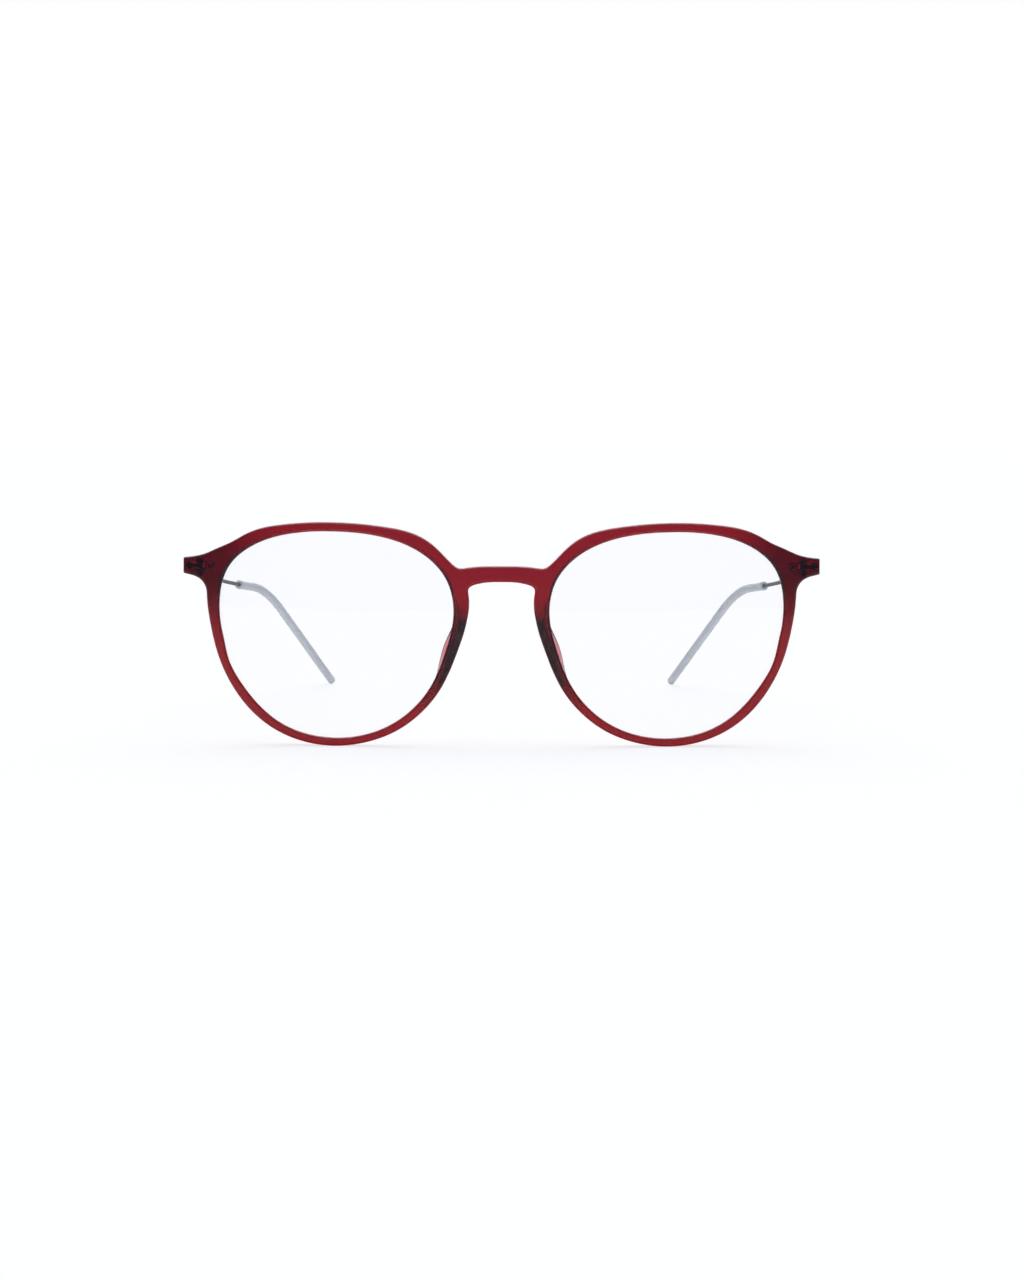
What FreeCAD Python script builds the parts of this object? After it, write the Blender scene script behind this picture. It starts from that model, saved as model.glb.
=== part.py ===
import FreeCAD, Part
import math
import os

# Round eyeglasses with a moulded plastic front, clear lenses and wire temples.
# All sizes are in millimetres and all angles in degrees. X runs from the wearer's right to
# the left, Y from the front back to the ears and Z up. The glasses stand open on a table, on
# the bottoms of the two rims and the ends of the two temple tips.
# The left half is modelled, and each of its pieces is mirrored for the right half.

Vector = FreeCAD.Vector

# Lenses
lens_width = 50.2
lens_height = 44.45
lens_thickness = 2.0
bridge_width = 18.94
bevel_reach = 0.5
bevel_thickness = 0.8
lens_clearance = 0.03

# Front: rims, bridge and end pieces
front_depth = 3.4
rim_width = 1.7
lens_setback = 0.7
bridge_height = 3.26
bridge_rise = 12.88
end_piece_reach = 7.53
end_piece_height = 3.36
end_piece_rise = 14.38
face_chamfer = 0.3
back_chamfer = 0.2

# Face curve: the front is bent to this radius across and upright, level at level_x from the
# middle, and the bridge blends the two sides from bridge_blend_x inwards.
face_curve_radius = 170.0
level_x = 19.7
bridge_blend_x = 9.5

# Nose pads: wings that start behind the nasal rim and flare outwards to their back edge
pad_depth = 6.0
pad_reach = 3.0
pad_overlap = 1.2

# Hinges: the axis is upright, behind the end piece, and the lower ear is the longer one.
hinge_inset = 3.52
hinge_drop = 0.25
hinge_setback = 1.55
screw_radius = 0.35
screw_head_radius = 0.5
screw_head_height = 0.4
screw_slot_width = 0.2
screw_slot_depth = 0.2
head_clearance = 0.05
running_clearance = 0.03
eye_radius = 0.75
eye_height = 0.8
washer_radius = 0.7
washer_thickness = 0.15
stack_gap = 0.02
upper_ear_height = 0.8
lower_ear_height = 1.5
anchor_width = 1.9
anchor_height = 1.9
anchor_gap = 0.5
root_width = 1.5
root_height = 1.6
root_depth = 1.5
root_clearance = 0.01
arm_length = 2.2
arm_thickness = 0.9
socket_radius = 0.7
socket_length = 3.6

# Temples
temple_slope = 6.68
temple_reach = 130.0
temple_inward = 22.04
wire_radius = 0.45
wire_clearance = 0.02
tip_radius = 0.95
tip_collar_radius = 1.06
tip_mouth_radius = 0.82
tip_mouth_length = 0.4
tip_collar_length = 1.0
tip_taper_length = 0.7
wire_end_cover = 3.0
tip_lead = 2.3

# Length by which cutting shapes run past what they cut
overrun = 6.0

# Each outline's curve is cut into this many spans, so that no single face is long and winding.
outline_spans = 12

# Outlines, with their rows in order from the outer end to the middle. A rim row is a direction
# seen from the lens centre, in degrees from the temple side over the top, and the radius there
# as a share of an ellipse through the rim's four sides.
opening_shares = (
    (0, 0.98), (20, 1.07), (35, 1.135), (50, 1.12), (70, 1.045), (90, 1.0),
    (110, 1.02), (130, 1.07), (150, 1.08), (170, 1.01), (190, 0.94), (210, 0.94),
    (240, 0.98), (270, 1.0), (300, 0.985), (330, 0.95), (345, 0.962),
)
rim_top_shares = (
    (44, 1.186), (50, 1.163), (56, 1.138), (66, 1.079), (76, 1.035), (88, 1.009), (100, 1.012),
    (110, 1.037), (120, 1.081), (127, 1.107), (133, 1.115), (140, 1.114), (146, 1.124),
)
rim_low_shares = (
    (18, 1.102), (8, 1.038), (0, 1.003), (345, 0.971), (330, 0.9645), (315, 0.977),
    (300, 0.9935), (285, 1.001), (270, 1.0), (255, 0.992), (240, 0.983), (225, 0.968),
    (210, 0.959), (200, 0.9575), (190, 0.9715), (180, 1.0095), (170, 1.0655), (161, 1.113),
)

# A bridge row is a place between the middle and the lens opening, as a share of that gap, and
# a height over the bridge's own middle, as a share of its height.
bridge_top_shares = ((0.945, 0.425), (0.86, 0.353), (0.77, 0.38), (0.45, 0.485), (0, 0.5))
bridge_under_shares = ((0.69, -0.92), (0.61, -0.732), (0.525, -0.647), (0.36, -0.546), (0, -0.5))

# An end piece row is a place between the lens box and the outer end, as a share of the reach,
# and a height over the end piece's own middle, as a share of its height.
end_piece_top_shares = ((1, 0.48), (0.73, 0.55), (0.38, 0.74), (0.03, 1.09))
end_piece_under_shares = ((1, -0.5), (0.73, -0.64), (0.55, -0.81), (0.425, -1.08), (0.343, -1.49))

# A nose pad row is a direction seen from the lens centre, the places there of the nose side and
# lens side of the pad's root and of its flared edge, as shares of its reach from the lens
# opening's edge, and a share of its depth.
pad_shares = (
    (158, -1.0, -0.3, -0.3, 0.02), (163, -1.01, -0.3, -0.3, 0.09), (168, -1.0, -0.3, -0.26, 0.25),
    (172, -0.96, -0.32, -0.12, 0.43), (176, -0.91, -0.34, 0.07, 0.66), (181, -0.87, -0.34, 0.22, 0.9),
    (188, -0.83, -0.34, 0.29, 1.0), (197, -0.79, -0.34, 0.24, 0.93), (204, -0.78, -0.33, 0.1, 0.74),
    (210, -0.76, -0.32, -0.08, 0.5), (216, -0.71, -0.32, -0.27, 0.27), (222, -0.64, -0.3, -0.3, 0.12),
    (228, -0.56, -0.28, -0.28, 0.02),
)

# Points round a pad's level section: places between the root's nose side and lens side, between
# the root and the flared edge, and behind the front's back, as shares of the distances.
pad_section_shares = (
    (0, 0, 0), (0, 0, 0.3), (0.08, 0, 0.6), (0.4, 0, 0.82), (0.9, 0.1, 0.94), (1, 0.8, 1.0),
    (1, 1, 0.93), (1, 0.7, 0.83), (1, 0.2, 0.72), (1, 0, 0.55), (1, 0, 0.3), (1, 0, 0),
)

# A temple row is a corner of the wire's route, as shares of the temple's inward and backward
# reach, and the straight length that its bend takes up on each side, as a share of the reach.
temple_shares = ((0.0366, 0.44, 0.0545), (0.1826, 0.589, 0.006), (0.3811, 0.719, 0.0766))

# Places that follow from the sizes
lens_centre_x = bridge_width / 2 + lens_width / 2
opening_half_width = lens_width / 2 - bevel_reach
opening_half_height = lens_height / 2 - bevel_reach
lens_centre_z = rim_width + opening_half_height
opening_gap = bridge_width / 2 + bevel_reach
front_half_width = bridge_width / 2 + lens_width + end_piece_reach
front_top_z = lens_centre_z + lens_height
bridge_z = lens_centre_z + bridge_rise
end_piece_z = lens_centre_z + end_piece_rise
hinge_x = front_half_width - hinge_inset
hinge_z = end_piece_z - hinge_drop
stack_height = eye_height + 2 * (washer_thickness + 2 * stack_gap)
hinge_top = hinge_z + stack_height / 2 + upper_ear_height
hinge_foot = hinge_z - stack_height / 2 - lower_ear_height
wire_x = hinge_x + arm_length


def sag(first, second):
    """The face curve's set-back, for two distances from its level point."""
    return first * second / (2 * face_curve_radius)


bridge_bend = sag(bridge_blend_x - level_x, 1) / bridge_blend_x
bridge_set = sag(bridge_blend_x - level_x, bridge_blend_x - level_x) - bridge_bend * bridge_blend_x**2


def face_y(x, z):
    """Y of the front's face at a place on it."""
    upright = sag(z - lens_centre_z, z - lens_centre_z)
    if abs(x) < bridge_blend_x:
        return bridge_set + bridge_bend * x**2 + upright
    return sag(abs(x) - level_x, abs(x) - level_x) + upright


hinge_y = face_y(hinge_x, hinge_z) + front_depth + hinge_setback


def curved_slab(setback, depth):
    """A slab that follows the face curve, set back from the face, with its depth along Y."""
    edge = front_half_width + overrun
    across = (
        (-edge, sag(edge - level_x, edge - level_x)),
        (-(edge + bridge_blend_x) / 2, sag(edge - level_x, bridge_blend_x - level_x)),
        (0, bridge_set - bridge_bend * bridge_blend_x**2),
        ((edge + bridge_blend_x) / 2, sag(edge - level_x, bridge_blend_x - level_x)),
        (edge, sag(edge - level_x, edge - level_x)),
    )
    low = -overrun - lens_centre_z
    high = front_top_z + overrun - lens_centre_z
    upright = (
        (low, sag(low, low)),
        ((low + high) / 2, sag(low, high)),
        (high, sag(high, high)),
    )
    poles = []
    for x, set_back_x in across:
        row = []
        for z, set_back_z in upright:
            row.append(Vector(x, setback + set_back_x + set_back_z, z + lens_centre_z))
        poles.append(row)
    surface = Part.BSplineSurface()
    surface.buildFromPolesMultsKnots(
        poles, (3, 1, 1, 3), (3, 3), (-edge, -bridge_blend_x, bridge_blend_x, edge),
        (low, high), False, False, 2, 2)
    return surface.toShape().extrude(Vector(0, depth, 0))


def mirrored(shape):
    return shape.mirror(Vector(0, 0, 0), Vector(1, 0, 0))


def rim_point(direction, share, half_width, half_height):
    """A point in the XZ plane, in a direction seen from the lens centre."""
    angle = math.radians(direction)
    x = lens_centre_x + half_width * share * math.cos(angle)
    z = lens_centre_z + half_height * share * math.sin(angle)
    return Vector(x, 0, z)


def share_at(shares, direction):
    """The share between two rows of a table, for a direction between theirs."""
    rows = sorted(shares)
    for (before, first), (after, second) in zip(rows, rows[1:]):
        if before <= direction <= after:
            return first + (second - first) * (direction - before) / (after - before)
    return rows[-1][1]


def spans(curve):
    """The curve's edges, one for each span."""
    first = curve.FirstParameter
    step = (curve.LastParameter - first) / outline_spans
    return [curve.toShape(first + step * span, first + step * (span + 1)) for span in range(outline_spans)]


def opening_outline(reach):
    """The lens opening's outline, moved outwards by a reach."""
    points = []
    for direction, share in opening_shares:
        points.append(rim_point(direction, share, opening_half_width + reach, opening_half_height + reach))
    curve = Part.BSplineCurve()
    curve.interpolate(Points=points, PeriodicFlag=True)
    return Part.Wire(spans(curve))


def along_y(outline):
    """A solid with this outline that reaches past the whole front along Y."""
    length = face_y(front_half_width + overrun, front_top_z + overrun) + front_depth + 2 * overrun
    outline.translate(Vector(0, -overrun, 0))
    return Part.Face(outline).extrude(Vector(0, length, 0))


def bridge_points(shares):
    return [Vector(x * opening_gap, 0, bridge_z + z * bridge_height) for x, z in shares]


def end_piece_points(shares):
    start = front_half_width - end_piece_reach
    return [Vector(start + x * end_piece_reach, 0, end_piece_z + z * end_piece_height) for x, z in shares]


def rim_points(shares):
    points = []
    for direction, share in shares:
        points.append(rim_point(direction, share, opening_half_width + rim_width, opening_half_height + rim_width))
    return points


def through_both_sides(points):
    """The edges of a smooth curve from the left end through the middle to the right end."""
    right_side = [Vector(-point.x, 0, point.z) for point in reversed(points)]
    curve = Part.BSplineCurve()
    curve.interpolate(Points=points + right_side[1:])
    return spans(curve)


def front_outline():
    """The front's outline: one curve over the top, one below, and the two square ends."""
    top = end_piece_points(end_piece_top_shares) + rim_points(rim_top_shares)
    top += bridge_points(bridge_top_shares)
    low = end_piece_points(end_piece_under_shares) + rim_points(rim_low_shares)
    low += bridge_points(bridge_under_shares)
    end = Part.makeLine(top[0], low[0])
    edges = through_both_sides(top) + [mirrored(end)] + through_both_sides(low) + [end]
    return Part.Wire(Part.__sortEdges__(edges))


def edges_at(solid, setback):
    """The solid's edges that lie on the face curve at this set-back."""
    found = []
    for edge in solid.Edges:
        middle = edge.valueAt((edge.FirstParameter + edge.LastParameter) / 2)
        ends = [vertex.Point for vertex in edge.Vertexes]
        if all(abs(point.y - face_y(point.x, point.z) - setback) < lens_clearance for point in ends + [middle]):
            found.append(edge)
    return found


def block(x_low, x_high, y_low, y_high, z_low, z_high):
    return Part.makeBox(x_high - x_low, y_high - y_low, z_high - z_low, Vector(x_low, y_low, z_low))


def hinge_cylinder(radius, z_low, z_high):
    """An upright cylinder on the hinge axis."""
    return Part.makeCylinder(radius, z_high - z_low, Vector(hinge_x, hinge_y, z_low))


# The root of the hinge anchor, and the pocket for it in the end piece's back
root_x = hinge_x - eye_radius - anchor_gap - anchor_width / 2
root_floor = face_y(root_x, hinge_z) + front_depth - root_depth


def anchor_root(clearance):
    return block(
        root_x - root_width / 2 - clearance, root_x + root_width / 2 + clearance,
        root_floor - clearance, hinge_y,
        hinge_z - root_height / 2 - clearance, hinge_z + root_height / 2 + clearance)


def make_front():
    body = along_y(front_outline()).common(curved_slab(0, front_depth))
    opening = along_y(opening_outline(0))
    body = body.cut([opening, mirrored(opening)])
    body = body.makeChamfer(face_chamfer, edges_at(body, 0))
    body = body.makeChamfer(back_chamfer, edges_at(body, front_depth))
    groove_setback = lens_setback + (lens_thickness - bevel_thickness) / 2 - lens_clearance
    groove = along_y(opening_outline(bevel_reach + lens_clearance)).common(
        curved_slab(groove_setback, bevel_thickness + 2 * lens_clearance))
    pocket = anchor_root(root_clearance)
    return body.cut([groove, mirrored(groove), pocket, mirrored(pocket)])


def make_lens():
    plate = along_y(opening_outline(-lens_clearance)).common(curved_slab(lens_setback, lens_thickness))
    bevel_setback = lens_setback + (lens_thickness - bevel_thickness) / 2
    bevel = along_y(opening_outline(bevel_reach)).common(curved_slab(bevel_setback, bevel_thickness))
    return plate.fuse(bevel)


def make_nose_pad():
    """A flared wing on the front's back, lofted through level sections along the nasal rim."""
    sections = []
    for direction, nose_share, root_share, flare_share, depth_share in pad_shares:
        edge = rim_point(direction, share_at(opening_shares, direction), opening_half_width, opening_half_height)
        back = face_y(edge.x, edge.z) + front_depth
        points = []
        for across, flared, behind in pad_section_shares:
            place = nose_share + across * (root_share - nose_share) + flared * (flare_share - root_share)
            depth = behind * depth_share * pad_depth if behind > 0 else -pad_overlap
            points.append(Vector(edge.x + place * pad_reach, back + depth, edge.z))
        curve = Part.BSplineCurve()
        curve.interpolate(Points=points, PeriodicFlag=True)
        sections.append(Part.Wire(curve.toShape()))
    pad = Part.makeLoft(sections, True, False)
    return pad.cut(curved_slab(-overrun, front_depth + overrun))


def make_hinge_anchor():
    """A block seated on the end piece's back, with a root in its pocket and two ears."""
    inner_x = root_x - anchor_width / 2
    outer_x = root_x + anchor_width / 2
    low = hinge_z - anchor_height / 2
    high = hinge_z + anchor_height / 2
    front_y = hinge_y - eye_radius
    back_y = hinge_y + eye_radius
    behind_face = face_y(inner_x, hinge_z) + front_depth - overrun
    anchor = block(inner_x, outer_x, behind_face, back_y, low, high)
    anchor = anchor.fuse([
        block(outer_x, hinge_x, front_y, back_y, hinge_z + stack_height / 2, high),
        block(outer_x, hinge_x, front_y, back_y, low, hinge_z - stack_height / 2),
        hinge_cylinder(eye_radius, hinge_z + stack_height / 2, hinge_top),
        hinge_cylinder(eye_radius, hinge_foot, hinge_z - stack_height / 2),
    ])
    anchor = anchor.cut(curved_slab(-overrun, front_depth + overrun))
    bore = hinge_cylinder(screw_radius, hinge_foot - overrun, hinge_top + overrun)
    seat = hinge_cylinder(screw_head_radius + head_clearance, hinge_top - screw_head_height, hinge_top + overrun)
    return anchor.fuse(anchor_root(0)).cut([bore, seat]).removeSplitter()


def make_hinge_screw():
    shank = hinge_cylinder(screw_radius, hinge_foot, hinge_top - screw_head_height)
    head = hinge_cylinder(screw_head_radius, hinge_top - screw_head_height, hinge_top)
    slot = block(
        hinge_x - screw_head_radius - overrun, hinge_x + screw_head_radius + overrun,
        hinge_y - screw_slot_width / 2, hinge_y + screw_slot_width / 2,
        hinge_top - screw_slot_depth, hinge_top + overrun)
    return shank.fuse(head).cut(slot)


def make_hinge_washers():
    """One washer above the eye and one below it."""
    washers = []
    for side in (-1, 1):
        middle = hinge_z + side * (eye_height / 2 + stack_gap + washer_thickness / 2)
        disc = hinge_cylinder(washer_radius, middle - washer_thickness / 2, middle + washer_thickness / 2)
        hole = hinge_cylinder(screw_radius + running_clearance, middle - overrun, middle + overrun)
        washers.append(disc.cut(hole))
    return Part.makeCompound(washers)


# The temple wire's route: its height falls steadily from the hinge to the bend behind the ear,
# and from there it runs down to the tip's rounded end, which rests on the table.
slope = math.tan(math.radians(temple_slope))
wire_start = Vector(wire_x, hinge_y - arm_thickness / 2, hinge_z + slope * arm_thickness / 2)
tip_end = Vector(wire_x - temple_inward, hinge_y + temple_reach, tip_radius)
temple_corners = [wire_start]
for inward_share, back_share, bend_share in temple_shares:
    corner_y = back_share * temple_reach
    temple_corners.append(
        Vector(wire_x - inward_share * temple_inward, hinge_y + corner_y, hinge_z - slope * corner_y))
temple_corners.append(tip_end)
wire_way = (temple_corners[1] - temple_corners[0]).normalize()
tip_way = (temple_corners[-1] - temple_corners[-2]).normalize()


def bend(corner):
    """The start, middle and end of the arc that rounds a corner of the route."""
    here = temple_corners[corner]
    before = (temple_corners[corner - 1] - here).normalize()
    after = (temple_corners[corner + 1] - here).normalize()
    reach = temple_shares[corner - 1][2] * temple_reach
    half_turn = (math.pi - before.getAngle(after)) / 2
    radius = reach / math.tan(half_turn)
    towards = (before + after).normalize()
    middle = here + towards * (radius / math.cos(half_turn) - radius)
    return here + before * reach, middle, here + after * reach


def tube(start, corners, end, radius):
    """A round bar along straight runs and the arcs at these corners."""
    edges = []
    here = start
    for corner in corners:
        first, middle, last = bend(corner)
        edges.append(Part.makeLine(here, first))
        edges.append(Part.Arc(first, middle, last).toShape())
        here = last
    edges.append(Part.makeLine(here, end))
    way = edges[0].tangentAt(edges[0].FirstParameter)
    section = Part.Wire(Part.makeCircle(radius, start, way))
    return Part.Wire(edges).makePipeShell([section], True, False)


def make_temple_eye():
    """The eye on the screw, the arm beside it and the socket that holds the wire."""
    low = hinge_z - eye_height / 2
    high = hinge_z + eye_height / 2
    eye = hinge_cylinder(eye_radius, low, high)
    arm = block(hinge_x, wire_x, hinge_y - arm_thickness / 2, hinge_y + arm_thickness / 2, low, high)
    socket = Part.makeCylinder(socket_radius, socket_length, wire_start, wire_way)
    bore = hinge_cylinder(screw_radius + running_clearance, low - overrun, high + overrun)
    wire_hole = Part.makeCylinder(
        wire_radius + root_clearance, socket_length, wire_start + wire_way * arm_thickness, wire_way)
    return eye.fuse([arm, socket]).cut([bore, wire_hole]).removeSplitter()


def make_temple_wire():
    start = wire_start + wire_way * arm_thickness
    return tube(start, (1, 2, 3), tip_end - tip_way * wire_end_cover, wire_radius)


def make_temple_tip():
    """A sleeve over the wire, with a collar at its mouth and a rounded end."""
    run = (temple_corners[2] - temple_corners[1]).normalize()
    mouth = bend(2)[0] - run * tip_lead
    collar_start = mouth + run * tip_mouth_length
    collar_end = collar_start + run * tip_collar_length
    mouth_cone = Part.makeCone(tip_mouth_radius, tip_collar_radius, tip_mouth_length, mouth, run)
    collar = Part.makeCylinder(tip_collar_radius, tip_collar_length, collar_start, run)
    taper = Part.makeCone(tip_collar_radius, tip_radius, tip_taper_length, collar_end, run)
    sleeve = tube(collar_end + run * tip_taper_length, (2, 3), tip_end, tip_radius)
    end = Part.makeSphere(tip_radius, tip_end, tip_way, 0, 90, 360)
    outer = mouth_cone.fuse([collar, taper, sleeve, end])
    bore = tube(mouth - run * wire_clearance, (2, 3), tip_end - tip_way * wire_end_cover, wire_radius + wire_clearance)
    return outer.cut(bore).removeSplitter()


left_pieces = {
    "lens": make_lens(),
    "nose_pad": make_nose_pad(),
    "hinge_anchor": make_hinge_anchor(),
    "hinge_screw": make_hinge_screw(),
    "hinge_washers": make_hinge_washers(),
    "temple_eye": make_temple_eye(),
    "temple_wire": make_temple_wire(),
    "temple_tip": make_temple_tip(),
}
nodes = {"front": make_front()}
for name, shape in left_pieces.items():
    nodes[name + "_left"] = shape
    nodes[name + "_right"] = mirrored(shape)

# The origin is in the middle of the whole, on the table.
front_box = nodes["front"].optimalBoundingBox(False, False)
middle_y = (front_box.YMin + tip_end.y + tip_radius) / 2
to_origin = Vector(0, -middle_y, -front_box.ZMin)

os.makedirs("parts", exist_ok=True)
for name, shape in nodes.items():
    shape.translate(to_origin)
    shape.exportStep("parts/" + name + ".step")
    print(name, "solids", len(shape.Solids), "valid", shape.isValid(), "volume", round(shape.Volume, 3))
hinge = Vector(hinge_x, hinge_y, hinge_z) + to_origin
print("hinge axis at", round(hinge.x, 4), round(hinge.y, 4), round(hinge.z, 4))
end = tip_end + to_origin
print("tip end at", round(end.x, 4), round(end.y, 4), round(end.z, 4))
print("tip direction", round(tip_way.x, 6), round(tip_way.y, 6), round(tip_way.z, 6))
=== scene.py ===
# %% [markdown]
# # Round eyeglasses
# These cells dress a finished CAD model of round eyeglasses: a moulded, translucent wine-red
# front, two clear lenses, and wire temples with frosted sleeve tips. The model's pieces are the
# fixed frame, in metres, with the front's face towards -Y and the table at Z = 0. Here they get
# their finish, a table to stand on, soft light and the camera.

# %% Load the frame
import math

import bpy
from mathutils import Matrix, Vector


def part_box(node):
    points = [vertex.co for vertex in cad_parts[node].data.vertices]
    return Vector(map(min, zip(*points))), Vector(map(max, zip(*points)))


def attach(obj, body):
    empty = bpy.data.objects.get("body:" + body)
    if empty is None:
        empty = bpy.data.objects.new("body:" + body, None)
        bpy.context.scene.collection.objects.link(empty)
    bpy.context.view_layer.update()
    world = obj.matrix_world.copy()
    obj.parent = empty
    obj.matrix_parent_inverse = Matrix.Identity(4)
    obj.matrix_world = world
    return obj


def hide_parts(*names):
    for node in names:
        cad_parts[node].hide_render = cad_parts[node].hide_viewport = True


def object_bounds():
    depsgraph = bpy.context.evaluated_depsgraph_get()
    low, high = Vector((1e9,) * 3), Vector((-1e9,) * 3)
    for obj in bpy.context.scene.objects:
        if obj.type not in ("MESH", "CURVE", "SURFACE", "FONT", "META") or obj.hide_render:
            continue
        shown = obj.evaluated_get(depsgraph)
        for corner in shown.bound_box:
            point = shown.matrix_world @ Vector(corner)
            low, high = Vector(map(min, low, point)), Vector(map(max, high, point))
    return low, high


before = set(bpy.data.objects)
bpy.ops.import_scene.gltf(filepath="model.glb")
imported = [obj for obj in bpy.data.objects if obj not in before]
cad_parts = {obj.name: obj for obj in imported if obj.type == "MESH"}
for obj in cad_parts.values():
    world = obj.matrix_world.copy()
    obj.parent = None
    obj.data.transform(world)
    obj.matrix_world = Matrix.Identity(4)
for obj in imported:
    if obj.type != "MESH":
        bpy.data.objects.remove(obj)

cad_low, cad_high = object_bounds()
MM = 0.001
SIDES = ("right", "left")
cad_size = [round(side / MM, 1) for side in cad_high - cad_low]
print("nodes", len(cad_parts), "size in mm", cad_size)

# %% [markdown]
# ## Camera
# The glasses are seen from straight ahead and a little above, from about 600 mm, so the open
# temples run back and inwards behind the lenses. A long lens keeps the front nearly flat in the
# picture. The camera looks down at a point low on the nose gap, and a small shift puts the
# glasses a few pixels left of the middle.

# %% Camera
PICTURE_HEIGHT = 1279
SENSOR_SIDE = 36.0
FOCAL_PIXELS = 2880.0
MIDDLE_SHIFT_PIXELS = 10.6
EYE_DISTANCE = 600.2 * MM
EYE_HEIGHT = 70.8 * MM
LOOK_DOWN = math.radians(4.576)
ROLL = math.radians(0.145)

eye = Vector((0.0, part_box("front")[0].y - EYE_DISTANCE, EYE_HEIGHT))
camera_data = bpy.data.cameras.new("camera")
camera_data.sensor_width = SENSOR_SIDE
camera_data.lens = FOCAL_PIXELS / PICTURE_HEIGHT * SENSOR_SIDE
camera_data.shift_x = MIDDLE_SHIFT_PIXELS / PICTURE_HEIGHT
camera_data.clip_start = 10 * MM
camera = bpy.data.objects.new("camera", camera_data)
bpy.context.scene.collection.objects.link(camera)
look = Matrix.Rotation(math.pi / 2 - LOOK_DOWN, 4, "X") @ Matrix.Rotation(ROLL, 4, "Z")
camera.matrix_world = Matrix.Translation(eye) @ look
bpy.context.scene.camera = camera
print("lens", round(camera_data.lens, 2), "mm, eye at", [round(place / MM, 1) for place in eye])

# %% [markdown]
# ## Colours and nodes
# Colours are written as sRGB hex, as a colour picker gives them, and one function turns them
# to the linear values that the shaders use. A second function adds a node with its settings
# and links, so that each material below reads as a short list of its nodes.

# %% Helpers for materials


def colour(hex_code):
    """Linear colour from an sRGB hex code such as #7A1F2B."""
    linear = []
    for start in (1, 3, 5):
        value = int(hex_code[start:start + 2], 16) / 255
        linear.append(value / 12.92 if value <= 0.04045 else ((value + 0.055) / 1.055) ** 2.4)
    return (*linear, 1.0)


def add_node(tree, kind, inputs=None, **settings):
    """A new node. Inputs are values, or outputs of other nodes to link from."""
    made = tree.nodes.new("ShaderNode" + kind)
    for name, value in settings.items():
        setattr(made, name, value)
    for name, value in (inputs or {}).items():
        if isinstance(value, bpy.types.NodeSocket):
            tree.links.new(value, made.inputs[name])
        else:
            made.inputs[name].default_value = value
    return made


def new_material(name):
    """An empty material and its node tree."""
    material = bpy.data.materials.new(name)
    material.use_nodes = True
    material.node_tree.nodes.clear()
    return material, material.node_tree


def put_on(piece, material):
    """Give the whole piece one material."""
    piece.data.materials.clear()
    piece.data.materials.append(material)


# %% [markdown]
# ## Light and table
# The glasses stand on a white table with no visible edge, as on a lit table in a studio: the
# light is brightest behind them and weaker from the camera's side and from both sides. A sun
# with a wide disc stands for a large soft light overhead. Camera rays, and rays through the
# clear lenses, see plain white.

# %% Light
WORLD_FRONT = "#8B95BC"
WORLD_BACK = "#FFFFFF"
BACKWARD_START = -0.5
BACKWARD_END = 0.6
SIDE_SHARE = 0.35
SIDE_START = 0.15
SIDE_END = 0.85
SUN_SHARE = 0.25
SUN_WIDTH = math.radians(75)
SUN_TILT = math.radians(12)

world = bpy.data.worlds.new("white studio")
bpy.context.scene.world = world
world.use_nodes = True
tree = world.node_tree
tree.nodes.clear()
way = add_node(tree, "SeparateXYZ", {"Vector": add_node(tree, "TexCoord").outputs["Generated"]})
backward = add_node(tree, "MapRange", {
    "Value": way.outputs["Y"], "From Min": BACKWARD_START, "From Max": BACKWARD_END,
    }, interpolation_type="SMOOTHSTEP")
hue = add_node(tree, "MixRGB", {
    0: backward.outputs["Result"], 1: colour(WORLD_FRONT), 2: colour(WORLD_BACK)})
sideways = add_node(tree, "Math", {0: way.outputs["X"]}, operation="ABSOLUTE")
side_dim = add_node(tree, "MapRange", {
    "Value": sideways.outputs[0], "From Min": SIDE_START, "From Max": SIDE_END,
    "To Min": 1.0, "To Max": SIDE_SHARE}, interpolation_type="SMOOTHSTEP")
light = add_node(tree, "Background", {
    "Color": hue.outputs[0], "Strength": side_dim.outputs["Result"]})
white = add_node(tree, "Background", {"Color": colour("#FFFFFF"), "Strength": 1.0})
path = add_node(tree, "LightPath")
through_lens = add_node(tree, "Math", {
    0: path.outputs["Is Singular Ray"], 1: path.outputs["Is Transmission Ray"],
    }, operation="MULTIPLY")
seen = add_node(tree, "Math", {
    0: path.outputs["Is Camera Ray"], 1: through_lens.outputs[0]}, operation="MAXIMUM")
mixed = add_node(tree, "MixShader", {
    0: seen.outputs[0], 1: light.outputs[0], 2: white.outputs[0]})
add_node(tree, "OutputWorld", {"Surface": mixed.outputs[0]})

sun_data = bpy.data.lights.new("soft light overhead", "SUN")
sun_data.energy = SUN_SHARE * math.pi
sun_data.angle = SUN_WIDTH
sun = bpy.data.objects.new("soft light overhead", sun_data)
bpy.context.scene.collection.objects.link(sun)
sun.matrix_world = Matrix.Rotation(-SUN_TILT, 4, "X")
print("light from above", round(SUN_SHARE, 2), "of white, and the rest from the world")

# %% [markdown]
# The table glows from below, so what stands on it casts only faint shadows. Rays that are seen,
# by the camera or through clear plastic, meet mostly glow and a little lit paper. All other
# rays meet plain white paper, so that the table lights the glasses as paper would.

# %% Table
TABLE_SIDE = 8.0
PAPER_WHITE = "#F6F6F6"
GLOW_SHARE = 0.72
LIT_PAPER = "#A8A8A8"

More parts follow.
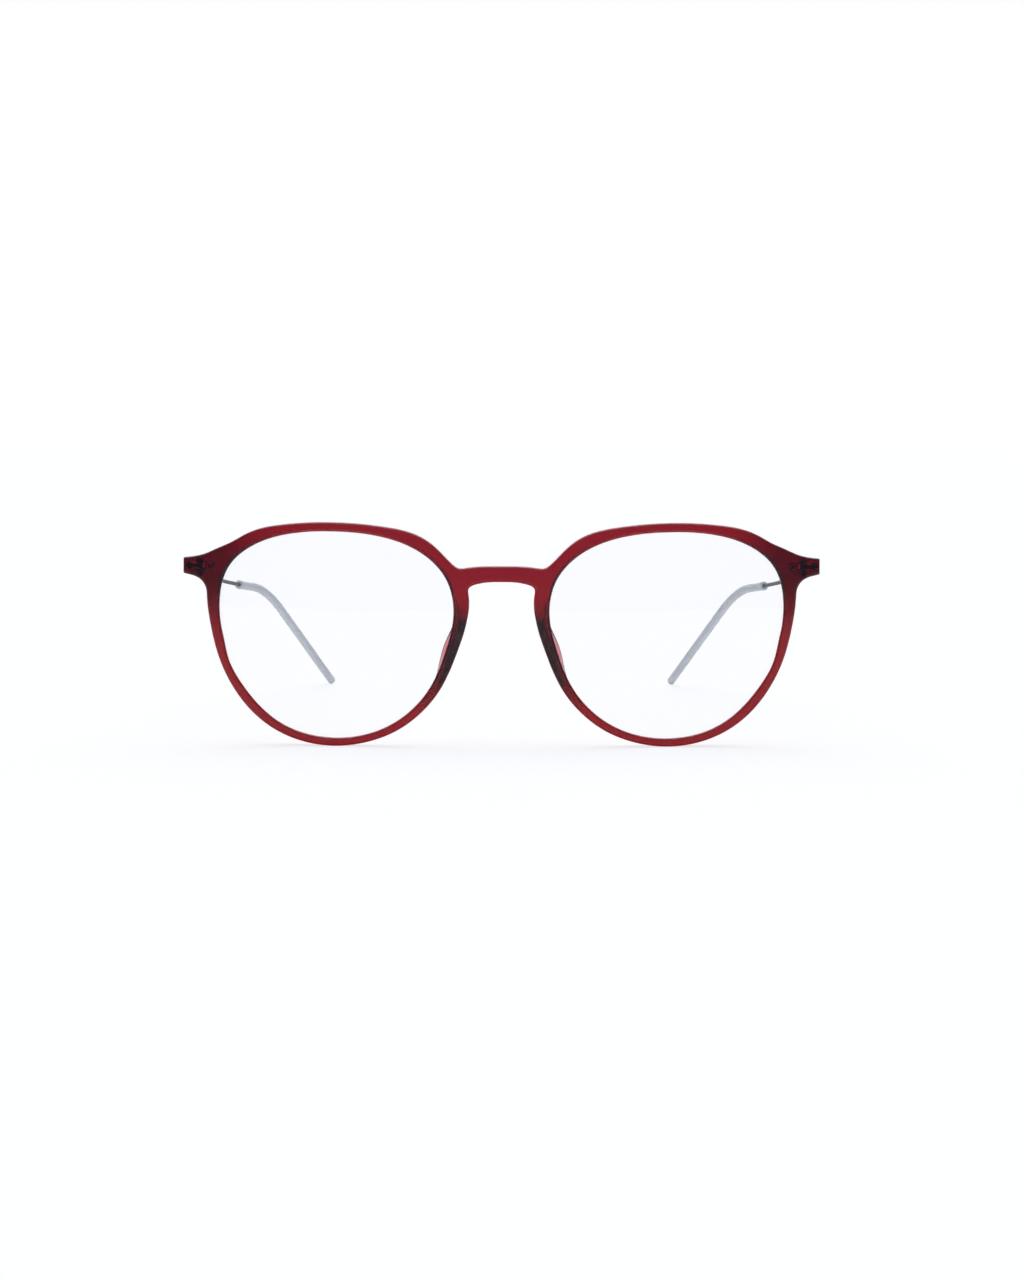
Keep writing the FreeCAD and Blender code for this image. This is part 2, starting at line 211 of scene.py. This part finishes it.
bpy.ops.object.select_all(action="DESELECT")
bpy.ops.mesh.primitive_plane_add(size=TABLE_SIDE, location=(0, 0, 0))
table = bpy.context.active_object
table.name = "table"
material, tree = new_material("white lit table")
path = add_node(tree, "LightPath")
seen = add_node(tree, "Math", {
    0: path.outputs["Is Camera Ray"], 1: path.outputs["Is Transmission Ray"]}, operation="MAXIMUM")
paper = add_node(tree, "BsdfDiffuse", {"Color": colour(PAPER_WHITE)})
lit_paper = add_node(tree, "BsdfDiffuse", {"Color": colour(LIT_PAPER)})
table_glow = add_node(tree, "Emission", {"Color": colour("#FFFFFF"), "Strength": GLOW_SHARE})
both = add_node(tree, "AddShader", {0: lit_paper.outputs[0], 1: table_glow.outputs[0]})
top = add_node(tree, "MixShader", {0: seen.outputs[0], 1: paper.outputs[0], 2: both.outputs[0]})
add_node(tree, "OutputMaterial", {"Surface": top.outputs[0]})
put_on(table, material)
print("table", TABLE_SIDE, "m wide")

# %% [markdown]
# ## The front's plastic
# The front is moulded polyamide, dyed wine red and tumbled to a matt, satin surface. Light goes
# through it: where it is thin it is a bright red, and where it is deep, or metal lies behind it,
# it is nearly black. So most of the colour is in the depth: Volume Absorption takes most of the
# green and blue within a millimetre and most of the red within three or four, and the surface is
# clear but slightly rough. The real plastic looks darker towards each hinge, and here that is
# painted shade: a share in the base colour on its back lets in less light nearer the hinge. At
# the slot that the temple's arm turns in, and over the arm, painted light raises the share again.

# %% Wine-red polyamide
RED_REACH = 2.4 * MM
GREEN_REACH = 0.6 * MM
BLUE_REACH = 0.66 * MM
GRAIN_SIZE = 0.25 * MM
GRAIN_DEPTH = 0.02 * MM
IS_BACK = "is_back"

# Places are on the left half, and the material folds the right half over onto it. The painted
# shade starts HINGE_FAR from the hinge and is deepest within HINGE_NEAR of it. Painted light lets
# SLOT_SHARE of the light in at the slot and over the arm.
HINGE_PLACE = Vector((63.7, 0.0, 37.6)) * MM
HINGE_NEAR = 5.5 * MM
HINGE_FAR = 20.0 * MM
HINGE_SHARE = 0.11
SLOT_PLACE = Vector((64.0, 0.0, 37.56)) * MM
SLOT_HALF = Vector((1.55, 1.0, 0.66)) * MM
ARM_PLACE = Vector((65.4, 0.0, 37.56)) * MM
ARM_HALF = Vector((1.2, 1.0, 0.4)) * MM
SLOT_SHARE = 0.85
SLOT_BLUR = 0.06 * MM


def inside_box(tree, place, middle, half):
    """1 within this upright box and 0 outside it, with a narrow blur."""
    away = add_node(tree, "VectorMath", {0: place, 1: middle}, operation="SUBTRACT")
    beside = add_node(tree, "VectorMath", {0: away.outputs[0]}, operation="ABSOLUTE")
    beyond = add_node(tree, "VectorMath", {0: beside.outputs[0], 1: half}, operation="SUBTRACT")
    parts = add_node(tree, "SeparateXYZ", {"Vector": beyond.outputs[0]})
    furthest = add_node(tree, "Math", {
        0: parts.outputs["X"], 1: parts.outputs["Z"]}, operation="MAXIMUM")
    mask = add_node(tree, "MapRange", {
        "Value": furthest.outputs[0], "From Min": -SLOT_BLUR, "From Max": SLOT_BLUR,
        "To Min": 1.0, "To Max": 0.0})
    return mask.outputs["Result"]


def painted_hinge_shade(tree, place):
    """Painted shade: a base colour share on the plastic's back that lets in less and less light
    towards a hinge, with painted light at the slot and over the arm.
    """
    parts = add_node(tree, "SeparateXYZ", {"Vector": place})
    outward = add_node(tree, "Math", {0: parts.outputs["X"]}, operation="ABSOLUTE")
    folded = add_node(tree, "CombineXYZ", {"X": outward.outputs[0], "Z": parts.outputs["Z"]})
    far = add_node(tree, "VectorMath", {
        0: folded.outputs[0], 1: HINGE_PLACE}, operation="DISTANCE")
    faded = add_node(tree, "MapRange", {
        "Value": far.outputs["Value"], "From Min": HINGE_NEAR, "From Max": HINGE_FAR,
        "To Min": HINGE_SHARE, "To Max": 1.0}, interpolation_type="SMOOTHSTEP")
    slot = inside_box(tree, folded.outputs[0], SLOT_PLACE, SLOT_HALF)
    arm = inside_box(tree, folded.outputs[0], ARM_PLACE, ARM_HALF)
    both = add_node(tree, "Math", {0: slot, 1: arm}, operation="MAXIMUM")
    # Painted light: the share is raised again at the slot and over the arm.
    slot_painted_light = add_node(tree, "Math", {0: both.outputs[0], 1: SLOT_SHARE}, operation="MULTIPLY")
    lighter = add_node(tree, "Math", {
        0: faded.outputs["Result"], 1: slot_painted_light.outputs[0]}, operation="MAXIMUM")
    is_back = add_node(tree, "Attribute", attribute_name=IS_BACK)
    shade = add_node(tree, "MapRange", {
        "Value": is_back.outputs["Fac"], "To Min": 1.0, "To Max": lighter.outputs[0]})
    return shade.outputs["Result"]


def make_wine_polyamide():
    material, tree = new_material("wine red polyamide")
    place = add_node(tree, "TexCoord").outputs["Object"]
    grain = add_node(tree, "TexNoise", {"Vector": place, "Scale": 1 / GRAIN_SIZE, "Detail": 2.0})
    dents = add_node(tree, "Bump", {
        "Height": grain.outputs["Fac"], "Strength": 0.25, "Distance": GRAIN_DEPTH})
    surface = add_node(tree, "BsdfPrincipled", {
        # The base colour carries the painted shade towards the hinges and the painted light at the
        # slot.
        "Base Color": painted_hinge_shade(tree, place),
        "Roughness": 0.2,
        "IOR": 1.51,
        "Transmission Weight": 1.0,
        "Normal": dents.outputs["Normal"],
    })
    inside = add_node(tree, "VolumeAbsorption", {
        "Color": (1 - GREEN_REACH / RED_REACH, 0.0, 1 - GREEN_REACH / BLUE_REACH, 1.0),
        "Density": 1 / GREEN_REACH})
    add_node(tree, "OutputMaterial", {"Surface": surface.outputs[0], "Volume": inside.outputs[0]})
    return material


wine_polyamide = make_wine_polyamide()
reaches = [round(reach / MM, 2) for reach in (RED_REACH, GREEN_REACH, BLUE_REACH)]
print("red, green and blue go", reaches, "mm into the plastic")

# %% [markdown]
# ## The front
# The CAD front has the right outline, lens grooves and bevelled edges, and two pads bonded to
# its back. A moulded front has no sharp edge anywhere, and a bonded pad shows no seam in clear
# plastic, so one new piece is made from copies of the three. A union joins the pads on, a
# voxel remesh gives an even skin, and a smoothing rounds every edge by a few tenths of a
# millimetre. Last, the faces of the back are marked for the material above.

# %% Front with its bonded pads
FRONT_VOXEL = 0.18 * MM
FRONT_ROUNDING = 6
FRONT_TRIANGLES = 180000
BACK_FACING = 0.3        # least share of a face's normal that points back


def copy_of(nodes, name):
    """One object with copies of these CAD nodes' meshes, welded."""
    bpy.ops.object.select_all(action="DESELECT")
    for node in nodes:
        made = bpy.data.objects.new(name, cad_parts[node].data.copy())
        bpy.context.scene.collection.objects.link(made)
        made.select_set(True)
        bpy.context.view_layer.objects.active = made
    if len(nodes) > 1:
        bpy.ops.object.join()
    made = bpy.context.active_object
    made.name = name
    bpy.ops.object.mode_set(mode="EDIT")
    bpy.ops.mesh.select_all(action="SELECT")
    bpy.ops.mesh.customdata_custom_splitnormals_clear()
    bpy.ops.mesh.remove_doubles(threshold=0.001 * MM)
    bpy.ops.object.mode_set(mode="OBJECT")
    return made


def apply_modifier(piece, kind, **settings):
    """Add a modifier with these settings and apply it."""
    bpy.context.view_layer.objects.active = piece
    modifier = piece.modifiers.new(kind.lower(), kind)
    for name, value in settings.items():
        setattr(modifier, name, value)
    bpy.ops.object.modifier_apply(modifier=modifier.name)


def count_triangles(piece):
    piece.data.calc_loop_triangles()
    return len(piece.data.loop_triangles)


def mark_back(piece):
    """Write on each face whether it faces the wearer, for the material to read."""
    is_back = piece.data.attributes.new(IS_BACK, "FLOAT", "FACE")
    for face in piece.data.polygons:
        is_back.data[face.index].value = 1.0 if face.normal.y > BACK_FACING else 0.0


moulded_front = copy_of(["front"], "moulded_front")
both_pads = copy_of(["nose_pad_right", "nose_pad_left"], "both_pads")
apply_modifier(moulded_front, "BOOLEAN", object=both_pads, operation="UNION", solver="EXACT")
bpy.data.objects.remove(both_pads)
apply_modifier(moulded_front, "REMESH", mode="VOXEL", voxel_size=FRONT_VOXEL)
apply_modifier(moulded_front, "SMOOTH", factor=0.5, iterations=FRONT_ROUNDING)
print("rounded skin", count_triangles(moulded_front), "triangles")
apply_modifier(moulded_front, "DECIMATE", ratio=FRONT_TRIANGLES / count_triangles(moulded_front))
bpy.ops.object.select_all(action="DESELECT")
moulded_front.select_set(True)
bpy.ops.object.shade_smooth()
mark_back(moulded_front)
put_on(moulded_front, wine_polyamide)
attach(moulded_front, "front")
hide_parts("front", "nose_pad_right", "nose_pad_left")
print("moulded front", count_triangles(moulded_front), "triangles")

# %% [markdown]
# ## Lenses
# The lenses are cast optical plastic, polished and coated. They take almost no light.

# %% Lenses


def make_lens_plastic():
    material, tree = new_material("coated optical plastic")
    surface = add_node(tree, "BsdfPrincipled", {
        "Base Color": colour("#FFFFFF"),
        "Roughness": 0.0,
        "IOR": 1.5,
        "Specular IOR Level": 0.2,
        "Transmission Weight": 1.0,
    })
    clear = add_node(tree, "BsdfTransparent")
    path = add_node(tree, "LightPath")
    lamp_rays = add_node(tree, "MixShader", {
        0: path.outputs["Is Shadow Ray"], 1: surface.outputs[0], 2: clear.outputs[0]})
    add_node(tree, "OutputMaterial", {"Surface": lamp_rays.outputs[0]})
    return material


lens_plastic = make_lens_plastic()
for side in SIDES:
    put_on(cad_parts["lens_" + side], lens_plastic)
print("lenses are clear")

# %% [markdown]
# ## Metal and sleeves
# The hinges are small parts of milled and of dark plated steel with nylon washers, the
# temples satin gunmetal wire, and the tips frosted silicone sleeves that let a little light
# through.

# %% Hinges, wires and tips


def make_metal(name, hex_code, roughness):
    material, tree = new_material(name)
    surface = add_node(tree, "BsdfPrincipled", {
        "Base Color": colour(hex_code), "Metallic": 1.0, "Roughness": roughness})
    add_node(tree, "OutputMaterial", {"Surface": surface.outputs[0]})
    return material


def make_silicone():
    material, tree = new_material("frosted silicone")
    surface = add_node(tree, "BsdfPrincipled", {
        "Base Color": colour("#F8FCFC"),
        "Roughness": 0.5,
        "IOR": 1.41,
        "Transmission Weight": 0.3,
    })
    add_node(tree, "OutputMaterial", {"Surface": surface.outputs[0]})
    return material


def make_nylon():
    material, tree = new_material("natural nylon")
    surface = add_node(tree, "BsdfPrincipled", {
        "Base Color": colour("#E4E2D8"),
        "Roughness": 0.4,
        "IOR": 1.53,
        "Subsurface Weight": 0.3,
        "Subsurface Radius": (1.0, 0.9, 0.8),
        "Subsurface Scale": 0.3 * MM,
    })
    add_node(tree, "OutputMaterial", {"Surface": surface.outputs[0]})
    return material


steel = make_metal("milled steel", "#DCDCE0", 0.5)
plated_steel = make_metal("dark plated steel", "#7A7C82", 0.45)
gunmetal = make_metal("satin gunmetal", "#24282E", 0.35)
silicone = make_silicone()
nylon = make_nylon()
for side in SIDES:
    put_on(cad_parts["hinge_anchor_" + side], steel)
    put_on(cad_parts["hinge_screw_" + side], steel)
    put_on(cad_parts["hinge_washers_" + side], nylon)
    put_on(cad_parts["temple_eye_" + side], plated_steel)
    put_on(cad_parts["temple_wire_" + side], gunmetal)
    put_on(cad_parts["temple_tip_" + side], silicone)

# %% [markdown]
# ## View
# The dressed model keeps the CAD model's size; the picture uses the Standard view transform.

bpy.context.scene.view_settings.view_transform = "Standard"
